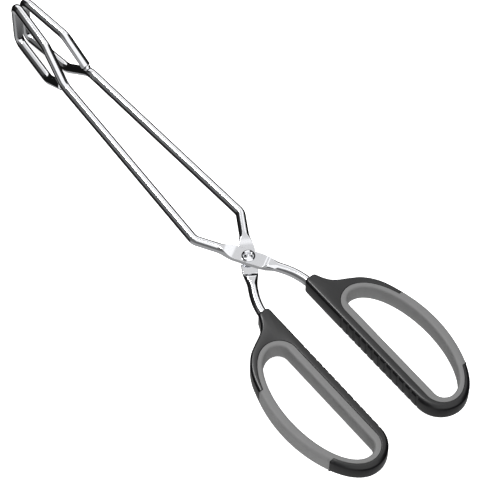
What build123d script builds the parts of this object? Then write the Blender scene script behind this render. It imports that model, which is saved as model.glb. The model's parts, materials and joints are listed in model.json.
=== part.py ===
from build123d import *
import os
from math import cos, radians, sin, sqrt, tan

# Scissor-action wire kitchen tongs. Lengths are in millimetres and angles in degrees.
# Two identical halves cross at one rivet. Each half is a bent round rod with a jaw loop at the
# tips and a two-material finger loop at the back. The lower half is drawn, and the upper half
# is the same half turned over about the long X axis.
# Frame: +X towards the tips, +Z square to the plane that the tongs open in, and the origin at
# the middle of the whole box. The rivet's axis is parallel to Z.

# ---------------------------------------------------------------- rods
rod_diameter = 5.0
arm_reach = 140.3  # pivot to where the jaw loop starts
jaw_length = 49.1  # start of the jaw loop to the middle of the upright at the tips
jaw_root_offset = 7.9  # centre line of the tongs to the rod where the jaw loop starts
jaw_root_bend_radius = 9.0
knee_run = 17.9  # start of the jaw loop to the corner where its legs turn forwards
knee_half_height = 13.5
knee_bend_radius = 9.0
tip_half_height = 14.4  # middle of the loop to the middle of the rod at the tip corners
tip_bend_radius = 4.5
tip_gap = 0.4  # between the two closed tips
crossing_half_angle = 30.8  # each blade to the centre line of the tongs
outer_bend_reach = 24.5
outer_bend_radius = 6.0
neck_bend_radius = 36.0
tang_depth = 20.0  # how far the tang runs into the neck
weld_gap = 0.1  # between the loop's free end and the rod that it meets
weld_radius = 1.9
weld_share = 0.75  # place of the bead's middle, from the jaw's root to the loop's free end

# ---------------------------------------------------------------- pivot blades
blade_width = 8.0
blade_thickness = 2.4
blade_gap = 0.1  # clearance between the two blades
blade_side_height = 4.6  # half height of the oval whose sides the blade's edges follow
blade_half_length = 16.0  # pivot to where the rod is round again
blade_full_half_length = 6.0  # stretch on each side of the pivot at full width
flat_half_length = 8.5  # flat faces of the blade, each side of the pivot
flat_slope_run = 4.3  # length of the slope from the flat face to the rod's surface

# ---------------------------------------------------------------- rivet
rivet_shank_diameter = 4.0
rivet_bore_clearance = 0.05  # radial, in both blades
rivet_head_diameter = 6.8
rivet_head_height = 1.15
rivet_rim_height = 0.55  # of the head's edge, and of the groove inside its ring
rivet_ring_share = 0.82  # crest of the head's ring, as a share of the head's radius
rivet_groove_share = 0.66
rivet_button_share = 0.3
rivet_dimple_radius = 0.7
rivet_tail_diameter = 6.2
rivet_tail_height = 0.9
rivet_play = 0.1  # between the tail and the blade above it

# ---------------------------------------------------------------- handles
handle_thickness = 10.5
neck_reach = 29.1  # pivot to the front face of the neck
neck_length = 19.4  # front face of the neck to the finger opening
neck_width = 6.3
neck_corner_radius = 2.0
opening_length = 73.6
opening_rise = 17.2  # widest line of the finger opening to the inside of the bow
opening_corner_radius = 5.8  # widest line of the opening to its straight side
bar_offset = 11.2  # centre line of the tongs to the bar's outer wall
bar_width = 8.2  # straight side of the loop, next to the other handle
bow_width = 5.2
rear_width = 6.0
shoulder_angle = 66.0  # where the front curve leaves the bow, seen from the opening's middle
front_curve_lift = 6.85  # rise of the front curve above the neck, part of the way back
front_curve_share = 0.5  # of the way from the opening to the neck's front face
opening_curve_lift = 20.4  # rise of the front curve above the neck, beside the opening's end
liner_width = 3.0  # soft material around the opening
outer_edge_radius = 2.0
inner_edge_radius = 2.2
bow_core_width = 2.2  # hard rib that runs hidden inside the soft bow
bow_core_height = 6.0
bow_core_cover = 1.5  # soft material between the opening and the hidden rib
hook_setback = 9.0  # rear end of the opening to the end of the hard rear hook
horn_setback = 11.6  # front end of the opening to the tip of the hard front horn
colour_slant = 3.7  # slant of both ends of the soft bow
groove_pitch = 4.6
groove_radius = 0.9
groove_depth = 0.6

# ---------------------------------------------------------------- worked out from the above
rod_radius = rod_diameter / 2
# Each rod is pressed flat about its own axis, so the two axes lie one blade apart in height.
blade_drop = (blade_gap + blade_thickness) / 2
tip_reach = arm_reach + jaw_length
knee_reach = arm_reach + knee_run
tip_offset = (rod_diameter + tip_gap) / 2
knee_offset = jaw_root_offset + knee_run / jaw_length * (tip_offset - jaw_root_offset)
outer_bend_offset = outer_bend_reach * tan(radians(crossing_half_angle))
tang_offset = bar_offset + neck_width / 2
neck_bend_reach = tang_offset / tan(radians(crossing_half_angle))
tang_end_reach = neck_reach + tang_depth
opening_half_length = opening_length / 2
rim_half_length = opening_half_length + rear_width
rim_rise = opening_rise + bow_width
middle_reach = neck_reach + neck_length + opening_half_length
middle_offset = bar_offset + bar_width + opening_corner_radius
half_thickness = handle_thickness / 2
hook_reach = opening_half_length - hook_setback
horn_reach = opening_half_length - horn_setback
front_end = tip_reach + rod_radius
back_end = middle_reach + rim_half_length
pivot_x = (back_end - front_end) / 2
turn_over = 180
pivot_frame = Plane(origin=(pivot_x, 0, 0))
loop_frame = Plane(origin=(pivot_x - middle_reach, middle_offset, -blade_drop))
blade_middle = Vector(pivot_x, 0, -blade_drop)
blade_axis = Vector(cos(radians(crossing_half_angle)), -sin(radians(crossing_half_angle)), 0)
blade_side = Vector(0, 0, 1).cross(blade_axis)


def blade_plane(distance):
    """Plane square to the lower blade, at a distance from the pivot towards the tips."""
    return Plane(
        origin=blade_middle + blade_axis * distance,
        x_dir=blade_side,
        z_dir=blade_axis,
    )


def loop_outline(margin_length, margin_rise, margin_corner):
    """Closed D around the finger opening: a straight side, two corners and a half-ellipse bow."""
    half_length = opening_half_length + margin_length
    rise = opening_rise + margin_rise
    corner = opening_corner_radius + margin_corner
    straight_end = half_length - corner
    Line((-straight_end, -corner), (straight_end, -corner))
    CenterArc((straight_end, 0), corner, -90, 90)
    EllipticalCenterArc((0, 0), half_length, rise, start_angle=0, arc_size=180)
    CenterArc((-straight_end, 0), corner, 180, 90)


def jaw_free_end():
    """Where the loop's free end stops: square to its leg and just clear of the rod's own leg."""
    leg_length = sqrt(knee_run**2 + knee_half_height**2)
    half_angle_sine = knee_half_height / leg_length
    half_angle_cosine = knee_run / leg_length
    leg_angle_sine = 2 * half_angle_sine * half_angle_cosine
    leg_angle_cosine = half_angle_cosine**2 - half_angle_sine**2
    clear = (rod_radius + weld_gap + rod_radius * leg_angle_cosine) / leg_angle_sine
    share = clear / leg_length
    x = arm_reach + share * knee_run
    y = -jaw_root_offset + share * (jaw_root_offset - knee_offset)
    return (x, y, share * knee_half_height)


# Rod centre line of the lower half, from the tang to the loop's free end. The jaw loop stands in
# one upright plane that runs from the jaw's root to the tips.
free_end = jaw_free_end()
with BuildLine(pivot_frame) as lower_path:
    FilletPolyline(
        (-tang_end_reach, tang_offset, -blade_drop),
        (-neck_bend_reach, tang_offset, -blade_drop),
        (outer_bend_reach, -outer_bend_offset, -blade_drop),
        (arm_reach, -jaw_root_offset, 0),
        (knee_reach, -knee_offset, -knee_half_height),
        (tip_reach, -tip_offset, -tip_half_height),
        (tip_reach, -tip_offset, tip_half_height),
        (knee_reach, -knee_offset, knee_half_height),
        free_end,
        radius=[
            neck_bend_radius,
            outer_bend_radius,
            jaw_root_bend_radius,
            knee_bend_radius,
            tip_bend_radius,
            tip_bend_radius,
            knee_bend_radius,
        ],
    )
rod_route = lower_path.wire()

# ---------------------------------------------------------------- lower arm
slope_rise = rod_radius - blade_thickness / 2
press_height = 2 * blade_side_height
press_run = flat_slope_run * (press_height - blade_thickness / 2) / slope_rise
with BuildPart() as lower_arm:
    with BuildSketch(Plane(origin=rod_route @ 0, z_dir=rod_route % 0)):
        Circle(rod_radius)
    sweep(path=rod_route)
    # The rod swells sideways where it is pressed flat for the pivot.
    for end, full in (
        (-blade_half_length, -blade_full_half_length),
        (blade_half_length, blade_full_half_length),
    ):
        with BuildSketch(blade_plane(end)):
            Circle(rod_radius)
        with BuildSketch(blade_plane(full)):
            Ellipse(blade_width / 2, blade_side_height)
        loft()
    with BuildSketch(blade_plane(-blade_full_half_length)):
        Ellipse(blade_width / 2, blade_side_height)
    extrude(amount=2 * blade_full_half_length)
    # Above and below, the swelling stays within the rod's own height.
    with BuildSketch(blade_plane(-blade_half_length)):
        with Locations((0, rod_radius)):
            Rectangle(2 * blade_width, press_height, align=(Align.CENTER, Align.MIN))
        with Locations((0, -rod_radius)):
            Rectangle(2 * blade_width, press_height, align=(Align.CENTER, Align.MAX))
    extrude(amount=2 * blade_half_length, mode=Mode.SUBTRACT)
    # The press leaves a flat face with sloped ends above and another below.
    with BuildSketch(Plane(origin=blade_middle, x_dir=blade_axis, z_dir=-blade_side)):
        for side in (-1, 1):
            with BuildLine():
                Polyline(
                    (-flat_half_length, side * blade_thickness / 2),
                    (flat_half_length, side * blade_thickness / 2),
                    (flat_half_length + press_run, side * press_height),
                    (-flat_half_length - press_run, side * press_height),
                    close=True,
                )
            make_face()
    extrude(amount=2 * blade_width, both=True, mode=Mode.SUBTRACT)
    with Locations(blade_middle):
        Cylinder(
            rivet_shank_diameter / 2 + rivet_bore_clearance,
            2 * rod_diameter,
            mode=Mode.SUBTRACT,
        )
lower_arm.part.label = "lower_arm"

# ---------------------------------------------------------------- lower weld
# A bead across the butt between the loop's free end and the rod's own bend.
with BuildPart() as lower_weld:
    jaw_root = Vector(pivot_x + arm_reach, -jaw_root_offset, 0)
    loop_end = Vector(pivot_x, 0, 0) + Vector(free_end)
    with Locations(jaw_root + (loop_end - jaw_root) * weld_share):
        Sphere(weld_radius)
    add(lower_arm.part, mode=Mode.SUBTRACT)
lower_weld.part.label = "lower_weld"

# ---------------------------------------------------------------- left handle
# Outer shape of the whole handle, hard and soft together.
neck_front = opening_half_length + neck_length
neck_bottom = bar_offset - middle_offset
neck_top = neck_bottom + neck_width
shoulder_x = rim_half_length * cos(radians(shoulder_angle))
shoulder_y = rim_rise * sin(radians(shoulder_angle))
# Slope of the bow's ellipse at the shoulder, so that the front curve leaves it smoothly.
shoulder_slope = rim_rise * cos(radians(shoulder_angle)) / (
    rim_half_length * sin(radians(shoulder_angle))
)
with BuildPart() as handle_shape:
    with BuildSketch(loop_frame) as handle_sketch:
        with BuildLine():
            loop_outline(rear_width, bow_width, bar_width)
        make_face()
        with BuildLine():
            Polyline(
                (shoulder_x, shoulder_y),
                (0, 0),
                (0, neck_bottom),
                (neck_front, neck_bottom),
                (neck_front, neck_top),
            )
            Spline(
                (neck_front, neck_top),
                (
                    opening_half_length + front_curve_share * neck_length,
                    neck_top + front_curve_lift,
                ),
                (opening_half_length, neck_top + opening_curve_lift),
                (shoulder_x, shoulder_y),
                tangents=[(-1, 0.42), (-1, shoulder_slope)],
            )
        make_face()
        fillet(handle_sketch.vertices().group_by(Axis.X)[-1], neck_corner_radius)
    extrude(amount=half_thickness, both=True)
    with BuildSketch(loop_frame):
        with BuildLine():
            loop_outline(0, 0, 0)
        make_face()
    extrude(amount=handle_thickness, both=True, mode=Mode.SUBTRACT)
    for end in (0, -1):
        flat = handle_shape.faces().sort_by(Axis.Z)[end]
        fillet(flat.inner_wires()[0].edges(), inner_edge_radius)
    for end in (0, -1):
        flat = handle_shape.faces().sort_by(Axis.Z)[end]
        fillet(flat.outer_wire().edges(), outer_edge_radius)

# The soft stretches: the ring around the opening and the bow between hook and horn.
with BuildPart() as soft_zone:
    with BuildSketch(loop_frame):
        with BuildLine():
            loop_outline(liner_width, liner_width, liner_width)
        make_face()
        with BuildLine():
            Polyline(
                (-hook_reach, 0),
                (-hook_reach, opening_rise),
                (-hook_reach - colour_slant, 2 * opening_rise),
                (horn_reach - colour_slant, 2 * opening_rise),
                (horn_reach - colour_slant, opening_rise),
                (horn_reach, opening_rise / 2),
                (horn_reach, 0),
                close=True,
            )
        make_face()
    extrude(amount=handle_thickness, both=True)

# The hard rib inside the bow joins the rear hook to the front horn.
rib_far = bow_core_cover + bow_core_width
rib_span = hook_reach + horn_reach + 4 * colour_slant
with BuildPart() as bow_rib:
    with BuildSketch(loop_frame):
        with BuildLine():
            loop_outline(rib_far, rib_far, rib_far)
        make_face()
        with BuildLine():
            loop_outline(bow_core_cover, bow_core_cover, bow_core_cover)
        make_face(mode=Mode.SUBTRACT)
        with Locations(((horn_reach - hook_reach) / 2, opening_rise)):
            Rectangle(rib_span, opening_rise + 2 * rib_far, mode=Mode.INTERSECT)
    extrude(amount=bow_core_height / 2, both=True)

# Grooves across the wall that faces the other handle, along its straight stretch.
bar_straight = 2 * (rim_half_length - opening_corner_radius - bar_width)
groove_count = int(bar_straight / groove_pitch) + 1
groove_start = pivot_x - middle_reach - (groove_count - 1) / 2 * groove_pitch
groove_y = bar_offset + groove_depth - groove_radius
with BuildPart() as left_handle_core:
    add(handle_shape.part)
    add(soft_zone.part, mode=Mode.SUBTRACT)
    add(bow_rib.part)
    add(lower_arm.part, mode=Mode.SUBTRACT)
    with Locations(
        [(groove_start + index * groove_pitch, groove_y, 0) for index in range(groove_count)]
    ):
        Cylinder(groove_radius, 2 * handle_thickness, mode=Mode.SUBTRACT)
left_handle_core.part.label = "left_handle_core"

with BuildPart() as left_handle_grip:
    add(handle_shape.part)
    add(soft_zone.part, mode=Mode.INTERSECT)
    add(bow_rib.part, mode=Mode.SUBTRACT)
left_handle_grip.part.label = "left_handle_grip"

# ---------------------------------------------------------------- upper half
with BuildPart() as upper_arm:
    add(lower_arm.part.rotate(Axis.X, turn_over))
upper_arm.part.label = "upper_arm"

with BuildPart() as upper_weld:
    add(lower_weld.part.rotate(Axis.X, turn_over))
upper_weld.part.label = "upper_weld"

with BuildPart() as right_handle_core:
    add(left_handle_core.part.rotate(Axis.X, turn_over))
right_handle_core.part.label = "right_handle_core"

with BuildPart() as right_handle_grip:
    add(left_handle_grip.part.rotate(Axis.X, turn_over))
right_handle_grip.part.label = "right_handle_grip"

# ---------------------------------------------------------------- rivet
shank_radius = rivet_shank_diameter / 2
head_radius = rivet_head_diameter / 2
tail_radius = rivet_tail_diameter / 2
head_seat = blade_gap / 2 + blade_thickness
head_top = head_seat + rivet_head_height
head_rim = head_seat + rivet_rim_height
tail_seat = -head_seat - rivet_play
tail_bottom = tail_seat - rivet_tail_height
with BuildPart() as pivot_rivet:
    with BuildSketch(Plane(origin=(pivot_x, 0, 0), x_dir=(1, 0, 0), z_dir=(0, -1, 0))):
        with BuildLine():
            Polyline(
                (0, tail_bottom),
                (tail_radius - rivet_tail_height, tail_bottom),
                (tail_radius, tail_seat - rivet_tail_height / 3),
                (tail_radius, tail_seat),
                (shank_radius, tail_seat),
                (shank_radius, head_seat),
                (head_radius, head_seat),
                (head_radius, head_rim),
                (rivet_ring_share * head_radius, head_top),
                (rivet_groove_share * head_radius, head_rim),
                (rivet_button_share * head_radius, head_top),
                (0, head_top),
                close=True,
            )
        make_face()
    revolve(axis=Axis((pivot_x, 0, 0), (0, 0, 1)))
    with Locations((pivot_x, 0, head_top)):
        Sphere(rivet_dimple_radius, mode=Mode.SUBTRACT)
pivot_rivet.part.label = "pivot_rivet"

# ---------------------------------------------------------------- files
os.makedirs("parts", exist_ok=True)
export_step(lower_arm.part, "parts/lower_arm.step")
export_step(lower_weld.part, "parts/lower_weld.step")
export_step(left_handle_core.part, "parts/left_handle_core.step")
export_step(left_handle_grip.part, "parts/left_handle_grip.step")
export_step(upper_arm.part, "parts/upper_arm.step")
export_step(upper_weld.part, "parts/upper_weld.step")
export_step(right_handle_core.part, "parts/right_handle_core.step")
export_step(right_handle_grip.part, "parts/right_handle_grip.step")
export_step(pivot_rivet.part, "parts/pivot_rivet.step")
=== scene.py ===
import json
import math

import bmesh
import bpy
from bpy.props import FloatProperty, FloatVectorProperty, IntProperty, PointerProperty, StringProperty
from bpy.types import Operator, Panel, PropertyGroup
from mathutils import Matrix, Vector


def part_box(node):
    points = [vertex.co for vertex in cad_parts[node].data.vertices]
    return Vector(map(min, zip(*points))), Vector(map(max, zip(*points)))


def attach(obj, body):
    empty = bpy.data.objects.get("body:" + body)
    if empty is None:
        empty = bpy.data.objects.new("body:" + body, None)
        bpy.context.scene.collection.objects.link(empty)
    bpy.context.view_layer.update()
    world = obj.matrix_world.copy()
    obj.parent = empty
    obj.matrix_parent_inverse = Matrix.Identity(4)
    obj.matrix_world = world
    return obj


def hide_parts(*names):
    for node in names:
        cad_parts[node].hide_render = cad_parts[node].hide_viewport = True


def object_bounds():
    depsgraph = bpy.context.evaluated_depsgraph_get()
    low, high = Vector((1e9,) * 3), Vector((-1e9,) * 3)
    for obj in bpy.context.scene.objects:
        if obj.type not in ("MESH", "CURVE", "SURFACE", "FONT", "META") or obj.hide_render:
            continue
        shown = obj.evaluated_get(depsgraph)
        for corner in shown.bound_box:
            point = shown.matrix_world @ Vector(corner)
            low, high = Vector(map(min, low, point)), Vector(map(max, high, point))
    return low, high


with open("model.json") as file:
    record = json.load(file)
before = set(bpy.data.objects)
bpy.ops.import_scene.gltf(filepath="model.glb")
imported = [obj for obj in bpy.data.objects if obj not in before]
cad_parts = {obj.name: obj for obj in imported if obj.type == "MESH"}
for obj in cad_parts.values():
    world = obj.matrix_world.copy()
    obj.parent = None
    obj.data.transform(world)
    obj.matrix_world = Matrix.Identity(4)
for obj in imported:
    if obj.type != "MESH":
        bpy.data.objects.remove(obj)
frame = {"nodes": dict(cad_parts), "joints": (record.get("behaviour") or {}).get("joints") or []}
CAD_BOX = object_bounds()

bl_info = {
    "name": "Wire kitchen tongs",
    "version": (1, 0, 0),
    "blender": (4, 5, 0),
    "location": "3D View > Sidebar > Tongs",
    "description": "Builds scissor-action wire tongs with two-material finger-loop handles",
    "category": "Object",
}

MM = 0.001
LEFT_BODY = "lower_half"
RIGHT_BODY = "upper_half"
TINY = 1e-6

# bent rods
BLADE_STRAIGHT = 2  # the straight between the tang's bend and the outer bend holds the pressed blade
BLADE_STEPS = 96
BEND_STEP = 4  # degrees of bend between two rings
FEWEST_BEND_STEPS = 6
CUT_EDGE = 0.0006  # rounding of the rod's cut end
CUT_EDGE_SEGMENTS = 3
PRESSED_EDGE = 0.00018  # rounding of the edges that the press leaves
PRESSED_EDGE_ANGLE = 48

# handles
RING_CORNERS = 144  # corners of the circle that every handle ring starts from
EDGE_SEGMENTS = 6
OUTLINE_TURN = 50  # an edge that turns by more degrees than this belongs to an outline
HOOK_ANGLE = 132.5  # ring corner that the end of the rear hook starts from, in degrees
HORN_ANGLE = 60.0
HOOK_END = -0.0278  # place of the hook's end along the loop
HORN_END = 0.0214
END_REACH = 0.0003  # how near an edge is to the hook's or horn's end to belong to it
END_RISE = 0.01
PARTING_REACH = 0.0004
RIM_REACH = 0.0005
ROUNDING_STARTS = 0.010  # before and past the bar's rear end, where its crest widens into the hook's edge
ROUNDING_ENDS = 0.004
SHOULDER_SLOPE = 0.42  # slope of the front curve where it meets the neck
SHOULDER_ANGLE = math.degrees(math.atan(SHOULDER_SLOPE))
# front curve: ahead of the opening's front, and above the neck's top
FRONT_CURVE = (
    (-0.0035, 0.0227),
    (0.0036, 0.0170),
    (0.0070, 0.0117),
    (0.0098, 0.0067),
    (0.0124, 0.0037),
)
ARC_STEPS = 5

# brightness of the room
WHITE_ROOM = 1.55
DIM_CEILING = 1.0
GREY_WALL = 0.2
GREY_WALL_AHEAD = 0.03
DARK_SCREEN = 0.05
BLACK_GROUND = 0.01
LIT_GROUND = 0.5


# ------------------------------------------------------------------ small tools
def linear(hex_colour):
    """Linear RGBA of an sRGB hex colour."""
    channels = [int(hex_colour[start : start + 2], 16) / 255 for start in (1, 3, 5)]
    return [c / 12.92 if c < 0.04045 else ((c + 0.055) / 1.055) ** 2.4 for c in channels] + [1.0]


def add_node(tree, kind, settings=None, sockets=None):
    """Add one shader node with its settings, and give each input socket a value or a link."""
    node = tree.nodes.new(kind)
    for name, value in (settings or {}).items():
        setattr(node, name, value)
    for name, value in (sockets or {}).items():
        if isinstance(value, bpy.types.NodeSocket):
            tree.links.new(value, node.inputs[name])
        else:
            node.inputs[name].default_value = value
    return node


def new_material(name):
    material = bpy.data.materials.new(name)
    material.use_nodes = True
    return material, material.node_tree, material.node_tree.nodes["Principled BSDF"]


def select_only(part):
    bpy.ops.object.select_all(action="DESELECT")
    bpy.context.view_layer.objects.active = part
    part.select_set(True)


def in_edit(part):
    """Go to edit mode on one part, with nothing selected."""
    if bpy.context.mode != "OBJECT":
        bpy.ops.object.mode_set(mode="OBJECT")
    select_only(part)
    bpy.ops.object.mode_set(mode="EDIT")
    bpy.ops.mesh.select_mode(type="VERT")
    bpy.ops.mesh.select_all(action="DESELECT")


def out_of_edit():
    bpy.ops.object.mode_set(mode="OBJECT")


def start_circle(name, radius):
    """A ring of edges in the XY plane, as the start of a handle's outline."""
    bpy.ops.object.select_all(action="DESELECT")
    bpy.ops.mesh.primitive_circle_add(vertices=RING_CORNERS, radius=radius, location=(0, 0, 0))
    part = bpy.context.object
    part.name = part.data.name = name
    return part


def corners(part):
    mesh = bmesh.from_edit_mesh(part.data)
    mesh.verts.index_update()
    mesh.verts.ensure_lookup_table()
    return mesh.verts


def pick(part, chosen):
    """Select just the corners whose numbers are given."""
    mesh = bmesh.from_edit_mesh(part.data)
    mesh.verts.ensure_lookup_table()
    chosen = set(chosen)
    for corner in mesh.verts:
        corner.select = corner.index in chosen
    mesh.select_flush_mode()
    bmesh.update_edit_mesh(part.data)


def picked(part):
    return [corner.index for corner in corners(part) if corner.select]


def where(part, test, among=None):
    return [v.index for v in corners(part) if (among is None or v.index in among) and test(v.co)]


def shift(part, chosen, move):
    if chosen:
        pick(part, chosen)
        bpy.ops.transform.translate(value=move)


def scale(part, chosen, value, centre=(0, 0, 0)):
    if chosen:
        pick(part, chosen)
        bpy.ops.transform.resize(value=value, center_override=centre)


def clean(part):
    """Merge doubles and turn every face outwards."""
    in_edit(part)
    bpy.ops.mesh.select_all(action="SELECT")
    bpy.ops.mesh.remove_doubles(threshold=1e-6)
    bpy.ops.mesh.normals_make_consistent(inside=False)
    out_of_edit()


def use(part, kind, **settings):
    """Add one modifier, set it up and apply it."""
    select_only(part)
    modifier = part.modifiers.new(kind.lower(), kind)
    for name, value in settings.items():
        setattr(modifier, name, value)
    bpy.ops.object.modifier_apply(modifier=modifier.name)


def settle(part, place=(0, 0, 0), turn=0.0):
    """Move a part to its place and put that place into its mesh."""
    select_only(part)
    part.rotation_euler.x = turn
    part.location = place
    bpy.ops.object.transform_apply(location=True, rotation=True, scale=True)


def smooth(part, degrees):
    select_only(part)
    bpy.ops.object.shade_smooth_by_angle(angle=math.radians(degrees))


def give(part, material):
    part.data.materials.clear()
    part.data.materials.append(material)


def between(value, low, high):
    """Smooth step from 0 at low to 1 at high."""
    share = min(1.0, max(0.0, (value - low) / (high - low)))
    return share * share * (3 - 2 * share)


def rivet_place():
    """Middle of the rivet, where the two blades cross."""
    if not frame["joints"]:
        raise RuntimeError("the frame has no joint at the rivet")
    return Vector(frame["joints"][0]["pos_m"])


def turned_copy(part, name):
    """The other half's piece is the same one turned over about the long axis."""
    other = part.copy()
    other.data = part.data.copy()
    other.name = other.data.name = name
    bpy.context.scene.collection.objects.link(other)
    settle(other, turn=math.pi)
    return other


def check_closed(part):
    """Raise an error if a piece is empty or has an open or doubled edge."""
    mesh = bmesh.new()
    mesh.from_mesh(part.data)
    whole = len(mesh.faces) > 0 and all(len(edge.link_faces) == 2 for edge in mesh.edges)
    mesh.free()
    if not whole:
        raise RuntimeError(f"{part.name} isn't one closed skin")


def finish_pair(part, other_name, nodes, smooth_angle, material):
    """Copy the lower half's piece for the upper half, and hand both over in place of their CAD nodes."""
    check_closed(part)
    other = turned_copy(part, other_name)
    for piece, node, body in zip((part, other), nodes, (LEFT_BODY, RIGHT_BODY)):
        smooth(piece, smooth_angle)
        give(piece, material)
        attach(piece, body)
        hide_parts(node)
    return part, other


# ------------------------------------------------------------------ settings
class TongsHandleSizes(PropertyGroup):
    """Sizes of one handle, all in the plane of the finger loop."""

    opening_length: FloatProperty(
        name="Opening length", description="Finger opening, front to rear", default=0.0736, unit="LENGTH"
    )
    opening_rise: FloatProperty(
        name="Opening rise",
        description="Widest line of the opening to the bow",
        default=0.0172,
        unit="LENGTH",
    )
    opening_corner: FloatProperty(
        name="Opening corner",
        description="Corner radius beside the straight side",
        default=0.0058,
        unit="LENGTH",
    )
    liner: FloatProperty(
        name="Liner", description="Soft material around the opening", default=0.003, unit="LENGTH"
    )
    bar_liner: FloatProperty(
        name="Bar liner", description="Soft material on the bar", default=0.004, unit="LENGTH"
    )
    bar: FloatProperty(
        name="Bar", description="Whole width of the straight side", default=0.0082, unit="LENGTH"
    )
    bow: FloatProperty(name="Bow", description="Whole width of the bow", default=0.0052, unit="LENGTH")
    rear: FloatProperty(
        name="Rear", description="Whole width at the rear end", default=0.006, unit="LENGTH"
    )
    thickness: FloatProperty(
        name="Thickness", description="Handle thickness", default=0.0105, unit="LENGTH"
    )
    neck_width: FloatProperty(
        name="Neck width", description="Width of the neck's front face", default=0.0063, unit="LENGTH"
    )
    neck_corner: FloatProperty(
        name="Neck corner",
        description="Corner radius of the neck's front face",
        default=0.002,
        unit="LENGTH",
    )
    crest: FloatProperty(
        name="Crest radius",
        description="Edge radius along the bar, the neck and the front curve",
        default=0.0015,
        unit="LENGTH",
    )
    hook_edge: FloatProperty(
        name="Hook edge radius",
        description="Edge radius around the rear hook",
        default=0.0023,
        unit="LENGTH",
    )
    inner_edge: FloatProperty(
        name="Inner edge radius",
        description="Edge radius of the finger opening",
        default=0.0013,
        unit="LENGTH",
    )
    parting: FloatProperty(
        name="Parting edge",
        description="Edge radius where the two materials meet",
        default=0.00022,
        unit="LENGTH",
    )
    parting_gap: FloatProperty(
        name="Parting gap", description="Space between the two materials", default=0.00008, unit="LENGTH"
    )
    groove_pitch: FloatProperty(
        name="Groove pitch", description="Distance between the bar's grooves", default=0.0046, unit="LENGTH"
    )
    groove_radius: FloatProperty(
        name="Groove radius", description="Radius of each groove", default=0.001, unit="LENGTH"
    )
    groove_depth: FloatProperty(
        name="Groove depth", description="Depth of each groove", default=0.00065, unit="LENGTH"
    )
    groove_count: IntProperty(name="Grooves", description="Number of grooves in each bar", default=13)


class TongsRodSizes(PropertyGroup):
    """Sizes of one bent rod, measured from the rivet along the closed tongs."""

    radius: FloatProperty(
        name="Rod radius", description="Radius of the round rod", default=0.0025, unit="LENGTH"
    )
    corners_around: IntProperty(
        name="Corners around", description="Corners of the rod's round section", default=96
    )
    blade_angle: FloatProperty(
        name="Blade angle",
        description="Each blade to the centre line",
        default=math.radians(30.8),
        subtype="ANGLE",
    )
    blade_half_width: FloatProperty(
        name="Blade half width", description="Half width of the pressed blade", default=0.004, unit="LENGTH"
    )
    blade_swell: FloatProperty(
        name="Blade swell",
        description="Half height that the swelling would have without the press",
        default=0.0046,
        unit="LENGTH",
    )
    blade_half_thickness: FloatProperty(
        name="Blade half thickness",
        description="Half thickness between the flat faces",
        default=0.0012,
        unit="LENGTH",
    )
    blade_end: FloatProperty(
        name="Blade end", description="Rivet to where the rod is round again", default=0.016, unit="LENGTH"
    )
    blade_full: FloatProperty(
        name="Full width",
        description="Rivet to where the blade starts to narrow",
        default=0.006,
        unit="LENGTH",
    )
    flat_front: FloatProperty(
        name="Flat to the front",
        description="Rivet to the flat face's end on the jaw side",
        default=0.0062,
        unit="LENGTH",
    )
    flat_back: FloatProperty(
        name="Flat to the back",
        description="Rivet to the flat face's end on the handle side",
        default=0.0082,
        unit="LENGTH",
    )
    slope_front: FloatProperty(
        name="Front slope", description="Length of the slope on the jaw side", default=0.0076, unit="LENGTH"
    )
    slope_back: FloatProperty(
        name="Back slope",
        description="Length of the slope on the handle side",
        default=0.0032,
        unit="LENGTH",
    )
    drop: FloatProperty(
        name="Drop",
        description="Lower rod's axis below the middle plane, at the rivet",
        default=0.00125,
        unit="LENGTH",
    )
    tang_end: FloatProperty(
        name="Tang end", description="Rivet back to the tang's hidden end", default=0.0491, unit="LENGTH"
    )
    tang_offset: FloatProperty(
        name="Tang offset", description="Tang to the centre line", default=0.01435, unit="LENGTH"
    )
    tang_bend: FloatProperty(
        name="Tang bend", description="Bend radius between tang and blade", default=0.036, unit="LENGTH"
    )
    outer_reach: FloatProperty(
        name="Outer bend reach",
        description="Rivet to the corner of the outer bend",
        default=0.0245,
        unit="LENGTH",
    )
    outer_bend: FloatProperty(
        name="Outer bend",
        description="Bend radius between blade and long arm",
        default=0.006,
        unit="LENGTH",
    )
    root_reach: FloatProperty(
        name="Jaw root reach",
        description="Rivet to the root of the jaw loop",
        default=0.1403,
        unit="LENGTH",
    )
    root_offset: FloatProperty(
        name="Jaw root offset", description="Jaw root to the centre line", default=0.0079, unit="LENGTH"
    )
    jaw_bend: FloatProperty(
        name="Jaw bend", description="Bend radius at the jaw's root and knees", default=0.009, unit="LENGTH"
    )
    knee_reach: FloatProperty(
        name="Knee reach", description="Rivet to the jaw loop's knees", default=0.1582, unit="LENGTH"
    )
    knee_offset: FloatProperty(
        name="Knee offset", description="Knees to the centre line", default=0.006, unit="LENGTH"
    )
    knee_half_height: FloatProperty(
        name="Knee half height",
        description="Half the loop's height at the knees",
        default=0.0135,
        unit="LENGTH",
    )
    tip_reach: FloatProperty(
        name="Tip reach", description="Rivet to the axis of the tip", default=0.1894, unit="LENGTH"
    )
    tip_offset: FloatProperty(
        name="Tip offset", description="Tip to the centre line", default=0.0027, unit="LENGTH"
    )
    tip_half_height: FloatProperty(
        name="Tip half height",
        description="Half the loop's height at the tip",
        default=0.0144,
        unit="LENGTH",
    )
    tip_bend: FloatProperty(
        name="Tip bend", description="Bend radius at the tip's two corners", default=0.0045, unit="LENGTH"
    )
    end_reach: FloatProperty(
        name="Free end reach", description="Rivet to the welded free end", default=0.143, unit="LENGTH"
    )
    end_offset: FloatProperty(
        name="Free end offset", description="Free end to the centre line", default=0.00761, unit="LENGTH"
    )
    end_height: FloatProperty(
        name="Free end height",
        description="Free end above the middle plane",
        default=0.00206,
        unit="LENGTH",
    )


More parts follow.
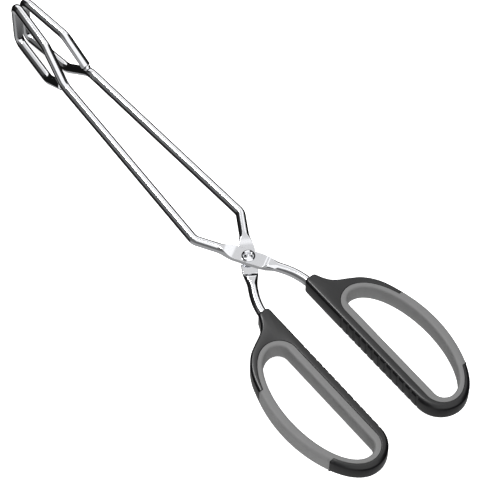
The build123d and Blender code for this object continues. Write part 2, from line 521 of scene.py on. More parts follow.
class TongsColours(PropertyGroup):
    """Colours of the finishes, as sRGB hex values."""

    steel: StringProperty(name="Steel", description="Polished stainless rod", default="#E4E5E8")
    plastic: StringProperty(
        name="Hard plastic", description="Moulded black polypropylene", default="#08080A"
    )
    soft: StringProperty(name="Soft grip", description="Grey thermoplastic elastomer", default="#6E6E6E")
    floor: StringProperty(name="Floor", description="Plain studio floor", default="#FFFFFF")


class TongsStudio(PropertyGroup):
    """Camera and light."""

    toward_camera: FloatVectorProperty(
        name="Toward camera",
        description="Direction from the rivet to the camera",
        default=(-0.4228, 0.3522, 0.8350),
        subtype="DIRECTION",
    )
    camera_right: FloatVectorProperty(
        name="Camera right",
        description="Direction of the camera's right-hand side",
        default=(-0.6244, -0.7810, 0.0132),
        subtype="DIRECTION",
    )
    distance: FloatProperty(name="Distance", description="Camera to rivet", default=1.25, unit="LENGTH")
    lens: FloatProperty(name="Lens", description="Focal length on a 36 mm sensor, in mm", default=191.4)
    shift_x: FloatProperty(name="Shift across", description="Lens shift to the side", default=-0.0173)
    shift_y: FloatProperty(name="Shift up", description="Lens shift upwards", default=0.0395)
    key_power: FloatProperty(
        name="Key power", description="Power of the overhead softbox", default=14.0, unit="POWER"
    )
    key_size: FloatProperty(
        name="Key size", description="Side of the square softbox", default=0.4, unit="LENGTH"
    )
    key_distance: FloatProperty(
        name="Key distance", description="Softbox to the tongs' middle", default=1.5, unit="LENGTH"
    )
    toward_key: FloatVectorProperty(
        name="Toward key",
        description="Direction to the softbox",
        default=(0.42, 0.04, 0.905),
        subtype="DIRECTION",
    )
    floor_size: FloatProperty(
        name="Floor size", description="Side of the square floor", default=8.0, unit="LENGTH"
    )
    floor_gap: FloatProperty(
        name="Floor gap", description="Space under the lowest rod", default=0.0005, unit="LENGTH"
    )
    floor_glow: FloatProperty(
        name="Floor glow",
        description="Light that the floor gives, so that its shadows stay faint",
        default=0.8,
    )


# ------------------------------------------------------------------ materials
def polished_steel(colours):
    """Cold-drawn stainless rod, tumbled and buffed: a mirror with very faint lines along it."""
    # buffing lines are under 0.1 mm apart, too fine to show, so they are drawn 0.7 mm apart
    lines_per_metre = 1.5 / MM
    # the wheel leaves hazier and clearer patches about 4.5 mm across
    patches_per_metre = 0.22 / MM
    made = bpy.data.materials.get("buffed_stainless_steel")
    if made:
        return made
    material, tree, shader = new_material("buffed_stainless_steel")
    shader.inputs["Base Color"].default_value = linear(colours.steel)
    shader.inputs["Metallic"].default_value = 1.0
    place = add_node(tree, "ShaderNodeTexCoord")
    stretched = add_node(
        tree, "ShaderNodeMapping", None, {"Vector": place.outputs["Object"], "Scale": (0.06, 1.0, 1.0)}
    )
    lines = add_node(
        tree,
        "ShaderNodeTexNoise",
        None,
        {"Vector": stretched.outputs[0], "Scale": lines_per_metre, "Detail": 2.0},
    )
    haze = add_node(
        tree,
        "ShaderNodeTexNoise",
        None,
        {"Vector": place.outputs["Object"], "Scale": patches_per_metre, "Detail": 3.0},
    )
    both = add_node(
        tree, "ShaderNodeMath", {"operation": "MULTIPLY"}, {0: lines.outputs["Fac"], 1: haze.outputs["Fac"]}
    )
    rough = add_node(
        tree,
        "ShaderNodeMapRange",
        None,
        {"Value": both.outputs[0], "From Min": 0.1, "From Max": 0.45, "To Min": 0.09, "To Max": 0.15},
    )
    tree.links.new(rough.outputs[0], shader.inputs["Roughness"])
    return material


def moulded_plastic(colours):
    """Black polypropylene from a fine spark-eroded mould: satin, with a barely visible grain."""
    # spark erosion leaves pits of about 0.05 mm, drawn 0.4 mm apart so that they show
    pits_per_metre = 2.6 / MM
    # the melt cools unevenly, which makes the gloss vary over about 11 mm
    clouds_per_metre = 0.09 / MM
    material, tree, shader = new_material("moulded_black_polypropylene")
    place = add_node(tree, "ShaderNodeTexCoord")
    grain = add_node(
        tree,
        "ShaderNodeTexNoise",
        None,
        {"Vector": place.outputs["Object"], "Scale": pits_per_metre, "Detail": 2.0},
    )
    cloud = add_node(
        tree,
        "ShaderNodeTexNoise",
        None,
        {"Vector": place.outputs["Object"], "Scale": clouds_per_metre, "Detail": 3.0},
    )
    shader.inputs["Base Color"].default_value = linear(colours.plastic)
    rough = add_node(
        tree,
        "ShaderNodeMapRange",
        None,
        {"Value": cloud.outputs["Fac"], "From Min": 0.3, "From Max": 0.7, "To Min": 0.30, "To Max": 0.36},
    )
    tree.links.new(rough.outputs[0], shader.inputs["Roughness"])
    bump = add_node(
        tree,
        "ShaderNodeBump",
        None,
        {"Strength": 0.12, "Distance": 0.00006, "Height": grain.outputs["Fac"]},
    )
    tree.links.new(bump.outputs[0], shader.inputs["Normal"])
    shader.inputs["IOR"].default_value = 1.49
    return material


def soft_elastomer(colours):
    """Overmoulded grey elastomer with a matte, slightly dusty skin."""
    # the skin's grain is about 0.1 mm, drawn 0.55 mm apart so that it shows
    grains_per_metre = 1.8 / MM
    # handling leaves paler and darker patches about 6 mm across
    patches_per_metre = 0.16 / MM
    material, tree, shader = new_material("overmoulded_grey_elastomer")
    place = add_node(tree, "ShaderNodeTexCoord")
    grain = add_node(
        tree,
        "ShaderNodeTexNoise",
        None,
        {"Vector": place.outputs["Object"], "Scale": grains_per_metre, "Detail": 3.0},
    )
    cloud = add_node(
        tree,
        "ShaderNodeTexNoise",
        None,
        {"Vector": place.outputs["Object"], "Scale": patches_per_metre, "Detail": 4.0},
    )
    base = linear(colours.soft)
    darker = [0.93 * c for c in base[:3]] + [1.0]
    lighter = [min(1.0, 1.07 * c) for c in base[:3]] + [1.0]
    mix = add_node(
        tree,
        "ShaderNodeMix",
        {"data_type": "RGBA"},
        {"Factor": cloud.outputs["Fac"], 6: darker, 7: lighter},
    )
    tree.links.new(mix.outputs[2], shader.inputs["Base Color"])
    rough = add_node(
        tree,
        "ShaderNodeMapRange",
        None,
        {"Value": grain.outputs["Fac"], "From Min": 0.3, "From Max": 0.7, "To Min": 0.52, "To Max": 0.64},
    )
    tree.links.new(rough.outputs[0], shader.inputs["Roughness"])
    bump = add_node(
        tree,
        "ShaderNodeBump",
        None,
        {"Strength": 0.25, "Distance": 0.00012, "Height": grain.outputs["Fac"]},
    )
    tree.links.new(bump.outputs[0], shader.inputs["Normal"])
    shader.inputs["IOR"].default_value = 1.46
    return material


# ------------------------------------------------------------------ bent rods
def rod_route(sizes):
    """Corners of the lower rod's centre line, from the rivet, and the radius of the bend at each."""
    slope = math.tan(sizes.blade_angle)
    knee = (sizes.knee_reach, -sizes.knee_offset)
    tip = (sizes.tip_reach, -sizes.tip_offset)
    return [
        ((-sizes.tang_end, sizes.tang_offset, -sizes.drop), 0),
        ((-sizes.tang_offset / slope, sizes.tang_offset, -sizes.drop), sizes.tang_bend),
        ((sizes.outer_reach, -sizes.outer_reach * slope, -sizes.drop), sizes.outer_bend),
        ((sizes.root_reach, -sizes.root_offset, 0), sizes.jaw_bend),
        ((*knee, -sizes.knee_half_height), sizes.jaw_bend),
        ((*tip, -sizes.tip_half_height), sizes.tip_bend),
        ((*tip, sizes.tip_half_height), sizes.tip_bend),
        ((*knee, sizes.knee_half_height), sizes.jaw_bend),
        ((sizes.end_reach, -sizes.end_offset, sizes.end_height), 0),
    ]


def extrude_straight(here, stops):
    """Carry the selected end of the rod on to each stop in turn, and return the last one."""
    for stop in stops:
        bpy.ops.mesh.extrude_edges_move(TRANSFORM_OT_translate={"value": stop - here})
        here = stop
    return here


def spin_bend(end, ahead, after, radius):
    """Bend the selected end of the rod from one direction to the next."""
    turn = ahead.angle(after)
    inward = (after - ahead * ahead.dot(after)).normalized()
    # spin turns clockwise about its axis
    bpy.ops.mesh.spin(
        steps=max(FEWEST_BEND_STEPS, round(math.degrees(turn) / BEND_STEP)),
        angle=-turn,
        center=end + inward * radius,
        axis=ahead.cross(inward),
        use_auto_merge=False,
    )


def bend_rod(sizes):
    """Extrude and spin the round section along the route, corner by corner."""
    rivet = rivet_place()
    route = [(rivet + Vector(point), radius) for point, radius in rod_route(sizes)]
    here = route[0][0]
    for number, (corner, radius) in enumerate(route[1:], 1):
        ahead = (corner - here).normalized()
        run = 0
        if radius:
            after = (route[number + 1][0] - corner).normalized()
            run = radius * math.tan(ahead.angle(after) / 2)
        end = corner - ahead * run
        stops = [end]
        if number == BLADE_STRAIGHT:
            first = (rivet - here).dot(ahead) - sizes.blade_end
            step = 2 * sizes.blade_end / BLADE_STEPS
            stops = [here + ahead * (first + step * i) for i in range(BLADE_STEPS + 1)] + stops
        here = extrude_straight(here, stops)
        if run:
            spin_bend(end, ahead, after, radius)
            here = corner + after * run


def press_blade(part, sizes):
    """Swell the rod sideways and press it flat about its own axis where it takes the rivet."""
    # worked out corner by corner, because scaling a ring can't stop at a level
    mesh = bmesh.from_edit_mesh(part.data)
    middle = rivet_place() - Vector((0, 0, sizes.drop))
    along = Vector((math.cos(sizes.blade_angle), -math.sin(sizes.blade_angle), 0))
    across = Vector((0, 0, 1)).cross(along)
    for corner in mesh.verts:
        offset = corner.co - middle
        reach = offset.dot(along)
        if abs(reach) > sizes.blade_end + TINY or abs(offset.dot(across)) > 2 * sizes.radius:
            continue
        swell = between(sizes.blade_end - abs(reach), 0, sizes.blade_end - sizes.blade_full)
        width = 1 + (sizes.blade_half_width / sizes.radius - 1) * swell
        height = 1 + (sizes.blade_swell / sizes.radius - 1) * swell
        flat, slope = (sizes.flat_front, sizes.slope_front) if reach > 0 else (
            sizes.flat_back, sizes.slope_back
        )
        rise = between(abs(reach), flat, flat + slope)
        limit = sizes.blade_half_thickness + (sizes.radius - sizes.blade_half_thickness) * rise
        level = max(-limit, min(limit, offset.z * height))
        corner.co = middle + along * reach + across * offset.dot(across) * width + Vector((0, 0, level))
    bmesh.update_edit_mesh(part.data)


def build_rod(sizes):
    """The lower rod, as one closed skin."""
    start = rivet_place() + Vector(rod_route(sizes)[0][0])
    bpy.ops.object.select_all(action="DESELECT")
    bpy.ops.mesh.primitive_circle_add(
        vertices=sizes.corners_around, radius=sizes.radius, location=start, rotation=(0, math.pi / 2, 0)
    )
    part = bpy.context.object
    part.name = part.data.name = "lower_bent_rod"
    bpy.ops.object.transform_apply(location=True, rotation=True, scale=True)
    in_edit(part)
    bpy.ops.mesh.select_all(action="SELECT")
    bend_rod(sizes)
    # close the free end with a slightly rounded cut face, and the hidden end with a plain one
    bpy.ops.mesh.edge_face_add()
    bpy.ops.mesh.bevel(offset=CUT_EDGE, segments=CUT_EDGE_SEGMENTS, clamp_overlap=False)
    pick(part, where(part, lambda p: p.x < start.x + TINY))
    bpy.ops.mesh.edge_face_add()
    press_blade(part, sizes)
    bpy.ops.mesh.select_all(action="SELECT")
    bpy.ops.mesh.remove_doubles(threshold=1e-7)
    bpy.ops.mesh.normals_make_consistent(inside=False)
    out_of_edit()
    use(
        part,
        "BEVEL",
        limit_method="ANGLE",
        angle_limit=math.radians(PRESSED_EDGE_ANGLE),
        width=PRESSED_EDGE,
        segments=2,
        use_clamp_overlap=True,
    )
    return part


# ------------------------------------------------------------------ handle outlines
def ring_shape(sizes, length_margin, rise_margin, corner_margin):
    """Half length, rise, corner radius and straight half length of a loop around the opening."""
    half = sizes.opening_length / 2 + length_margin
    corner = sizes.opening_corner + corner_margin
    return half, sizes.opening_rise + rise_margin, corner, half - corner


def rim_ring(sizes):
    """Outline of the handle around the loop."""
    return ring_shape(sizes, sizes.rear, sizes.bow, sizes.bar)


def parting_ring(sizes, gap):
    """Line where the two materials meet, moved outwards by the gap."""
    return ring_shape(sizes, sizes.liner + gap, sizes.liner + gap, sizes.bar_liner + gap)


def shape_first_ring(part, ring):
    """Turn a circle of the corner radius into a D: straight side at -Y, bow at +Y."""
    half, rise, corner, straight = ring
    shift(part, where(part, lambda p: p.y < -TINY and p.x > TINY), (straight, 0, 0))
    shift(part, where(part, lambda p: p.y < -TINY and p.x < -TINY), (-straight, 0, 0))
    scale(part, where(part, lambda p: p.y > -TINY), (half / corner, rise / corner, 1))


def grow_ring(part, chosen, old, new):
    """Move a freshly extruded ring from one D to a wider D."""
    old_half, old_rise, old_corner, old_straight = old
    half, rise, corner, straight = new
    upper = where(part, lambda p: p.y > -TINY, chosen)
    front = where(part, lambda p: p.y < -TINY and p.x > TINY, chosen)
    back = where(part, lambda p: p.y < -TINY and p.x < -TINY, chosen)
    middle = where(part, lambda p: p.y < -TINY and abs(p.x) < TINY, chosen)
    ratio = corner / old_corner
    scale(part, upper, (half / old_half, rise / old_rise, 1))
    scale(part, front, (ratio, ratio, 1), (old_straight, 0, 0))
    shift(part, front, (straight - old_straight, 0, 0))
    scale(part, back, (ratio, ratio, 1), (-old_straight, 0, 0))
    shift(part, back, (old_straight - straight, 0, 0))
    shift(part, middle, (0, old_corner - corner, 0))


def extrude_ring(part, chosen):
    """Extrude the edges between the chosen corners, and return the new corners."""
    pick(part, chosen)
    bpy.ops.mesh.extrude_edges_move()
    return picked(part)


def bow_angle(point, ring):
    """Place along the bow, in degrees from the front of the loop."""
    return math.degrees(math.atan2(point.y / ring[1], point.x / ring[0]))


def on_bow(part, ring, among, low, high):
    """Corners on the bow between two angles."""
    upper = where(part, lambda p: p.y > 0, among)
    return [i for i in upper if low < bow_angle(corners(part)[i].co, ring) < high]


def move_corner(part, number, target):
    point = corners(part)[number].co
    shift(part, [number], (target[0] - point.x, target[1] - point.y, 0))


def curve_point(points, start_slope, end_slope, share):
    """Point on a smooth curve through the given points, at a share of its length."""
    count = len(points)
    knots = [0.0]
    for first, second in zip(points, points[1:]):
        knots.append(knots[-1] + math.dist(first, second))
    slopes = [Vector(start_slope)]
    for index in range(1, count - 1):
        before = (Vector(points[index]) - Vector(points[index - 1])) / (knots[index] - knots[index - 1])
        after = (Vector(points[index + 1]) - Vector(points[index])) / (knots[index + 1] - knots[index])
        slopes.append((before + after).normalized())
    slopes.append(Vector(end_slope))
    place = share * knots[-1]
    span = min(count - 2, max(i for i in range(count) if knots[i] <= place + TINY))
    width = knots[span + 1] - knots[span]
    t = (place - knots[span]) / width
    first, second = Vector(points[span]), Vector(points[span + 1])
    return (
        first * (2 * t**3 - 3 * t**2 + 1)
        + slopes[span] * width * (t**3 - 2 * t**2 + t)
        + second * (3 * t**2 - 2 * t**3)
        + slopes[span + 1] * width * (t**3 - t**2)
    )


def on_ring(x, ring):
    half, rise = ring[:2]
    return x, rise * math.sqrt(1 - (x / half) ** 2)


def near_ring(point, ring, reach):
    """Whether a point is on the D-shaped line."""
    half, rise, corner, straight = ring
    if point.y >= 0:
        return abs(math.hypot(point.x / half, point.y / rise) - 1) * rise < reach
    if abs(point.x) <= straight:
        return abs(point.y + corner) < reach
    return abs(math.hypot(abs(point.x) - straight, point.y) - corner) < reach


def is_level(edge):
    return abs(edge.verts[0].co.z - edge.verts[1].co.z) < TINY


def at_end(edge):
    """Whether an edge lies across the hook's or the horn's end."""
    places = [corner.co for corner in edge.verts]
    return any(
        all(abs(place.x - end) < END_REACH and place.y > END_RISE for place in places)
        for end in (HOOK_END, HORN_END)
    )


def set_edge_round(part, radius_of, largest):
    """Give each outline edge a bevel weight for the radius that radius_of asks for."""
    mesh = bmesh.from_edit_mesh(part.data)
    weight = mesh.edges.layers.float.get("bevel_weight_edge") or mesh.edges.layers.float.new(
        "bevel_weight_edge"
    )
    for edge in mesh.edges:
        if len(edge.link_faces) == 2:
            turn = edge.calc_face_angle(0.0)
            if turn > math.radians(OUTLINE_TURN):
                edge[weight] = radius_of((edge.verts[0].co + edge.verts[1].co) / 2, edge) / largest
    bmesh.update_edit_mesh(part.data)


def round_edges(part, radius_of, largest):
    """Bevel the outline edges, each with the radius that radius_of asks for."""
    set_edge_round(part, radius_of, largest)
    out_of_edit()
    use(
        part,
        "BEVEL",
        limit_method="WEIGHT",
        width=largest,
        segments=EDGE_SEGMENTS,
        use_clamp_overlap=False,
        loop_slide=False,
    )
    clean(part)


def thicken(part, thickness):
    """Extrude a flat layout up to the handle's thickness, centred on its middle plane."""
    in_edit(part)
    bpy.ops.mesh.select_all(action="SELECT")
    bpy.ops.mesh.extrude_region_move(TRANSFORM_OT_translate={"value": (0, 0, thickness)})
    bpy.ops.mesh.select_all(action="SELECT")
    bpy.ops.transform.translate(value=(0, 0, -thickness / 2))
    bpy.ops.mesh.normals_make_consistent(inside=False)


def loop_centre():
    """Middle of the left finger loop."""
    sizes = bpy.context.scene.tongs_handle
    core_low, core_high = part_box("left_handle_core")
    bow_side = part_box("left_handle_grip")[1].y
    return Vector(
        (
            core_low.x + sizes.opening_length / 2 + sizes.rear,
            bow_side - sizes.opening_rise - sizes.bow,
            (core_low.z + core_high.z) / 2,
        )
    )


def build_shell(sizes):
    """The hard part: neck, ribbed bar, rear hook and front horn."""
    part_ring = parting_ring(sizes, sizes.parting_gap)
    rim = rim_ring(sizes)
    part = start_circle("left_hard_shell", part_ring[2])
    in_edit(part)
    shape_first_ring(part, part_ring)
    pick(part, on_bow(part, part_ring, None, HORN_ANGLE + 1, HOOK_ANGLE - 1))
    bpy.ops.mesh.delete(type="VERT")
    for angle, end in ((HOOK_ANGLE, HOOK_END), (HORN_ANGLE, HORN_END)):
        upper = where(part, lambda p: p.y > 0)
        nearest = min(upper, key=lambda i: abs(bow_angle(corners(part)[i].co, part_ring) - angle))
        move_corner(part, nearest, on_ring(end, part_ring))
    outer = extrude_ring(part, [v.index for v in corners(part)])
    # the two ends move on their own, the rest of the ring grows to the handle's outline
    hook, horn = (
        min(outer, key=lambda i: math.dist(corners(part)[i].co[:2], on_ring(end, part_ring)))
        for end in (HOOK_END, HORN_END)
    )
    straight = part_ring[3]
    front = where(
        part, lambda p: p.x > straight - TINY or (p.x > 0 and p.y > 0), [i for i in outer if i != hook]
    )
    order = sorted(front, key=lambda i: -ring_order(corners(part)[i].co, part_ring))
    rest = [i for i in outer if i not in front and i not in (hook, horn)]
    grow_ring(part, rest, part_ring, rim)
    move_corner(part, hook, on_ring(HOOK_END, rim))
    outline = neck_outline(sizes, rim, len(order))
    for number, target in zip(order, outline):
        move_corner(part, number, target)
    return part


def ring_order(point, ring):
    """Angle around the loop: bow positive, front zero, bar side negative."""
    if point.y >= -TINY:
        return bow_angle(point, ring)
    return -math.degrees(math.atan2(-point.y, point.x - ring[3]))


def neck_outline(sizes, rim, count):
    """Corners of the neck's outline, from the horn's end round to the bar's wall."""
    half = sizes.opening_length / 2
    front_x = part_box("left_handle_core")[1].x - loop_centre().x
    bottom = -rim[2]
    top = bottom + sizes.neck_width
    start = on_ring(HORN_END, rim)
    slope = -(rim[1] ** 2 * start[0]) / (rim[0] ** 2 * start[1])
    into = Vector((1, -SHOULDER_SLOPE)).normalized()
    corner = sizes.neck_corner
    upper_run = corner * math.tan(math.radians(90 - SHOULDER_ANGLE) / 2)
    curve_end = Vector((front_x, top)) - into * upper_run
    points = [start, *((half + ahead, top + above) for ahead, above in FRONT_CURVE), tuple(curve_end)]
    upper_arc = arc((front_x - corner, top - upper_run), corner, 90 - SHOULDER_ANGLE, 0, ARC_STEPS)
    lower_arc = arc((front_x - corner, bottom + corner), corner, 0, -90, ARC_STEPS)
    line_steps = count // 4
    along = count - line_steps - 2 * (ARC_STEPS + 1)
    outline = [
        tuple(curve_point(points, Vector((1, slope)).normalized(), into, i / along)) for i in range(along)
    ]
    outline += upper_arc + lower_arc
    line_start = front_x - corner
    outline += [
        (line_start + (rim[3] - line_start) * i / line_steps, bottom) for i in range(1, line_steps + 1)
    ]
    return outline


def arc(centre, radius, start, end, steps):
    """Points on an arc, both ends included."""
    angles = [math.radians(start + (end - start) * i / steps) for i in range(steps + 1)]
    return [(centre[0] + radius * math.cos(a), centre[1] + radius * math.sin(a)) for a in angles]


def build_grip(sizes):
    """The soft part: the liner of the finger opening and the bow between horn and hook."""
    gap = sizes.parting_gap
    opening = ring_shape(sizes, 0, 0, 0)
    part_ring = parting_ring(sizes, -gap)
    rim = rim_ring(sizes)
    part = start_circle("left_soft_grip", opening[2])
    in_edit(part)
    shape_first_ring(part, opening)
    outer = extrude_ring(part, [v.index for v in corners(part)])
    grow_ring(part, outer, opening, part_ring)
    bow = on_bow(part, part_ring, set(outer), HORN_ANGLE - 1, HOOK_ANGLE + 1)
    hook = min(bow, key=lambda i: corners(part)[i].co.x)
    horn = max(bow, key=lambda i: corners(part)[i].co.x)
    move_corner(part, hook, on_ring(HOOK_END + gap, part_ring))
    move_corner(part, horn, on_ring(HORN_END - gap, part_ring))
    far = extrude_ring(part, bow)
    grow_ring(part, far, part_ring, rim)
    move_corner(part, min(far, key=lambda i: corners(part)[i].co.x), on_ring(HOOK_END + gap, rim))
    move_corner(part, max(far, key=lambda i: corners(part)[i].co.x), on_ring(HORN_END - gap, rim))
    return part


def cut_grooves(part, sizes, rim):
    """Flute the bar's outer wall with evenly spaced grooves across it."""
    pitch, count = sizes.groove_pitch, sizes.groove_count
    bpy.ops.object.select_all(action="DESELECT")
    bpy.ops.mesh.primitive_cylinder_add(
        vertices=32,
        radius=sizes.groove_radius,
        depth=2 * sizes.thickness,
        location=(-pitch * (count - 1) / 2, -rim[2] + sizes.groove_depth - sizes.groove_radius, 0),
    )
    cutter = bpy.context.object
    use(
        cutter,
        "ARRAY",
        count=count,
        use_relative_offset=False,
        use_constant_offset=True,
        constant_offset_displace=(pitch, 0, 0),
    )
    use(part, "BOOLEAN", operation="DIFFERENCE", solver="EXACT", object=cutter)
    bpy.data.objects.remove(cutter)


# ------------------------------------------------------------------ operators
class TONGS_OT_bent_rods(Operator):
    """Model both bent rods: tang, pressed blade, long arm and jaw loop"""

    bl_idname = "tongs.bent_rods"
    bl_label = "Bent rods"

    def execute(self, context):
        part = build_rod(context.scene.tongs_rod)
        steel = polished_steel(context.scene.tongs_colours)
        nodes = ("lower_arm", "upper_arm")
        for rod in finish_pair(part, "upper_bent_rod", nodes, 40, steel):
            # two mirrors side by side would fill each other with broken hairlines
            rod.visible_glossy = False
        return {"FINISHED"}


class TONGS_OT_rivet_and_welds(Operator):
    """Give the rivet and both welds the rods' finish"""

    bl_idname = "tongs.rivet_and_welds"
    bl_label = "Rivet and welds"

    def execute(self, context):
        steel = polished_steel(context.scene.tongs_colours)
        for name in ("lower_weld", "upper_weld", "pivot_rivet"):
            part = frame["nodes"][name]
            if not part.material_slots:
                raise RuntimeError(f"{name} has no slot for its finish")
            for slot in part.material_slots:
                slot.material = steel
        return {"FINISHED"}


class TONGS_OT_hard_shells(Operator):
    """Model the black hard part of both handles"""

    bl_idname = "tongs.hard_shells"
    bl_label = "Hard handle shells"

    def execute(self, context):
        sizes = context.scene.tongs_handle
        rim = rim_ring(sizes)
        ring = parting_ring(sizes, 0)
        half_thick = sizes.thickness / 2
        part = build_shell(sizes)
        thicken(part, sizes.thickness)

        def radius(point, edge):
            on_face = all(abs(abs(corner.co.z) - half_thick) < TINY for corner in edge.verts)
            if not (on_face and is_level(edge)) or near_ring(point, ring, PARTING_REACH) or at_end(edge):
                return sizes.parting
            toward_hook = between(-point.x, rim[3] - ROUNDING_STARTS, rim[3] + ROUNDING_ENDS)
            return sizes.crest + (sizes.hook_edge - sizes.crest) * toward_hook

        round_edges(part, radius, max(sizes.crest, sizes.hook_edge))
        cut_grooves(part, sizes, rim)
        settle(part, loop_centre())
        plastic = moulded_plastic(context.scene.tongs_colours)
        nodes = ("left_handle_core", "right_handle_core")
        finish_pair(part, "right_hard_shell", nodes, 32, plastic)
        return {"FINISHED"}


class TONGS_OT_soft_grips(Operator):
    """Model the grey soft overmould of both handles"""

    bl_idname = "tongs.soft_grips"
    bl_label = "Soft grips"

    def execute(self, context):
        sizes = context.scene.tongs_handle
        opening = ring_shape(sizes, 0, 0, 0)
        rim = rim_ring(sizes)
        part = build_grip(sizes)
        thicken(part, sizes.thickness)

        def radius(point, edge):
            if not is_level(edge) or at_end(edge):
                return sizes.parting
            if near_ring(point, opening, RIM_REACH):
                return sizes.inner_edge
            on_bow_side = point.y > 0 and HOOK_END - MM < point.x < HORN_END + MM
            if on_bow_side and near_ring(point, rim, RIM_REACH):
                return sizes.hook_edge + (sizes.crest - sizes.hook_edge) * between(point.x, HOOK_END, 0.0)
            return sizes.parting

        round_edges(part, radius, max(sizes.inner_edge, sizes.hook_edge))
        settle(part, loop_centre())
        rubber = soft_elastomer(context.scene.tongs_colours)
        nodes = ("left_handle_grip", "right_handle_grip")
        finish_pair(part, "right_soft_grip", nodes, 32, rubber)
        return {"FINISHED"}


class TONGS_OT_stage(Operator):
    """Lay the floor, set the studio light and aim the camera"""

    bl_idname = "tongs.stage"
    bl_label = "Stage"

    def execute(self, context):
        scene = context.scene
        studio = scene.tongs_studio
        lay_floor(studio, scene.tongs_colours)
        aim_camera(scene, studio)
        hang_softbox(scene, studio)
        studio_sky(scene)
        scene.view_settings.view_transform = "Standard"
        return {"FINISHED"}


def lay_floor(studio, colours):
    """Plain white floor just under the tongs."""
    bpy.ops.object.select_all(action="DESELECT")
    level = CAD_BOX[0].z - studio.floor_gap
    bpy.ops.mesh.primitive_plane_add(size=studio.floor_size, location=(0, 0, level))
    floor = bpy.context.object
    floor.name = "floor"
    settle(floor, floor.location.copy())
    material, _, shader = new_material("matt_white_floor")
    shader.inputs["Base Color"].default_value = linear(colours.floor)
    shader.inputs["Roughness"].default_value = 0.9
    shader.inputs["Emission Color"].default_value = linear(colours.floor)
    shader.inputs["Emission Strength"].default_value = studio.floor_glow
    give(floor, material)
    floor.visible_glossy = False


def aim_camera(scene, studio):
    """Long lens that looks down on the rivet from behind the left handle."""
    back = Vector(studio.toward_camera).normalized()
    right = Vector(studio.camera_right)
    right = (right - back * right.dot(back)).normalized()
    up = back.cross(right)
    lens = bpy.data.cameras.new("camera")
    camera = bpy.data.objects.new("camera", lens)
    scene.collection.objects.link(camera)
    place = Matrix.Translation(rivet_place() + back * studio.distance)
    camera.matrix_world = place @ Matrix((right, up, back)).transposed().to_4x4()
    lens.sensor_width = 36
    lens.lens = studio.lens
    lens.shift_x = studio.shift_x
    lens.shift_y = studio.shift_y
    lens.clip_end = 20
    scene.camera = camera


def hang_softbox(scene, studio):
    """Square softbox overhead, slightly toward the jaws."""
    light = bpy.data.lights.new("key_softbox", "AREA")
    light.shape = "SQUARE"
    light.size = studio.key_size
    light.energy = studio.key_power
    softbox = bpy.data.objects.new("key_softbox", light)
    scene.collection.objects.link(softbox)
    toward = Vector(studio.toward_key).normalized()
    softbox.location = toward * studio.key_distance
    softbox.rotation_euler = toward.to_track_quat("Z", "Y").to_euler()


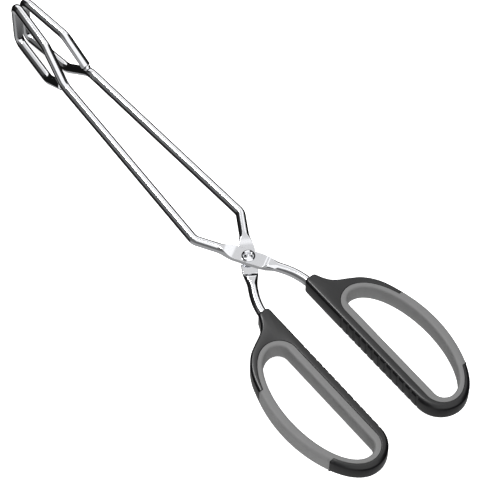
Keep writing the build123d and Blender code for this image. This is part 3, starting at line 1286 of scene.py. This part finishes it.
def studio_sky(scene):
    """White room with a grey wall on the left and dark ground, which gives the rods their bands."""
    world = bpy.data.worlds.new("studio")
    scene.world = world
    world.use_nodes = True
    tree = world.node_tree
    tree.nodes.clear()
    direction = add_node(tree, "ShaderNodeTexCoord").outputs["Generated"]
    parts = add_node(tree, "ShaderNodeSeparateXYZ", None, {0: direction})

    def ramp(value, low, high):
        settings = {"interpolation_type": "SMOOTHSTEP"}
        sockets = {"Value": value, "From Min": low, "From Max": high}
        return add_node(tree, "ShaderNodeMapRange", settings, sockets).outputs[0]

    def toward(vector):
        settings = {"operation": "DOT_PRODUCT"}
        sockets = {0: direction, 1: Vector(vector).normalized()}
        return add_node(tree, "ShaderNodeVectorMath", settings, sockets).outputs["Value"]

    def blend(share, first, second):
        return add_node(tree, "ShaderNodeMix", None, {"Factor": share, 2: first, 3: second}).outputs[0]

    def math_node(operation, *values):
        return add_node(tree, "ShaderNodeMath", {"operation": operation}, dict(enumerate(values))).outputs[
            0
        ]

    x, y, z = (parts.outputs[axis] for axis in "XYZ")
    # the horizon stands higher on the right, which puts the thin dark line on the rods' upper edge
    horizon = math_node("MULTIPLY_ADD", math_node("MINIMUM", y, 0.0), 0.3, z)
    above = ramp(horizon, -0.02, 0.03)
    grey_wall = blend(ramp(x, 0.55, 0.75), GREY_WALL, GREY_WALL_AHEAD)
    # the flat blades reflect the dim part of the ceiling
    ceiling = blend(ramp(toward((0.45, -0.15, 0.88)), 0.885, 0.95), WHITE_ROOM, DIM_CEILING)
    walls = blend(ramp(toward((0.5, 0.86, 0.0)), 0.43, 0.51), ceiling, grey_wall)
    sky = blend(ramp(toward((-0.41, -0.85, 0.33)), 0.82, 0.90), walls, DARK_SCREEN)
    # light comes from below only straight down and low on the left
    low_left = math_node("MULTIPLY", ramp(x, 0.35, 0.15), ramp(y, 0.45, 0.65))
    lit = math_node("MAXIMUM", low_left, ramp(z, -0.74, -0.84))
    ground = blend(lit, BLACK_GROUND, LIT_GROUND)
    background = add_node(tree, "ShaderNodeBackground", None, {"Strength": blend(above, ground, sky)})
    add_node(tree, "ShaderNodeOutputWorld", None, {"Surface": background.outputs[0]})


class TONGS_PT_panel(Panel):
    """Lists the steps that build the tongs"""

    bl_idname = "TONGS_PT_panel"
    bl_label = "Wire tongs"
    bl_space_type = "VIEW_3D"
    bl_region_type = "UI"
    bl_category = "Tongs"

    def draw(self, context):
        for step in STEPS:
            self.layout.operator(step.bl_idname)
        for group in GROUPS:
            settings = getattr(context.scene, group)
            box = self.layout.box()
            for name in settings.__annotations__:
                box.prop(settings, name)


STEPS = (
    TONGS_OT_bent_rods,
    TONGS_OT_rivet_and_welds,
    TONGS_OT_hard_shells,
    TONGS_OT_soft_grips,
    TONGS_OT_stage,
)
GROUPS = {
    "tongs_rod": TongsRodSizes,
    "tongs_handle": TongsHandleSizes,
    "tongs_colours": TongsColours,
    "tongs_studio": TongsStudio,
}


def register():
    for cls in (*GROUPS.values(), *STEPS, TONGS_PT_panel):
        bpy.utils.register_class(cls)
    for name, group in GROUPS.items():
        setattr(bpy.types.Scene, name, PointerProperty(type=group))


def unregister():
    for name in GROUPS:
        delattr(bpy.types.Scene, name)
    for cls in reversed((*GROUPS.values(), *STEPS, TONGS_PT_panel)):
        bpy.utils.unregister_class(cls)


def main():
    register()
    bpy.ops.tongs.bent_rods()
    bpy.ops.tongs.rivet_and_welds()
    bpy.ops.tongs.hard_shells()
    bpy.ops.tongs.soft_grips()
    bpy.ops.tongs.stage()


if __name__ == "__main__":
    main()
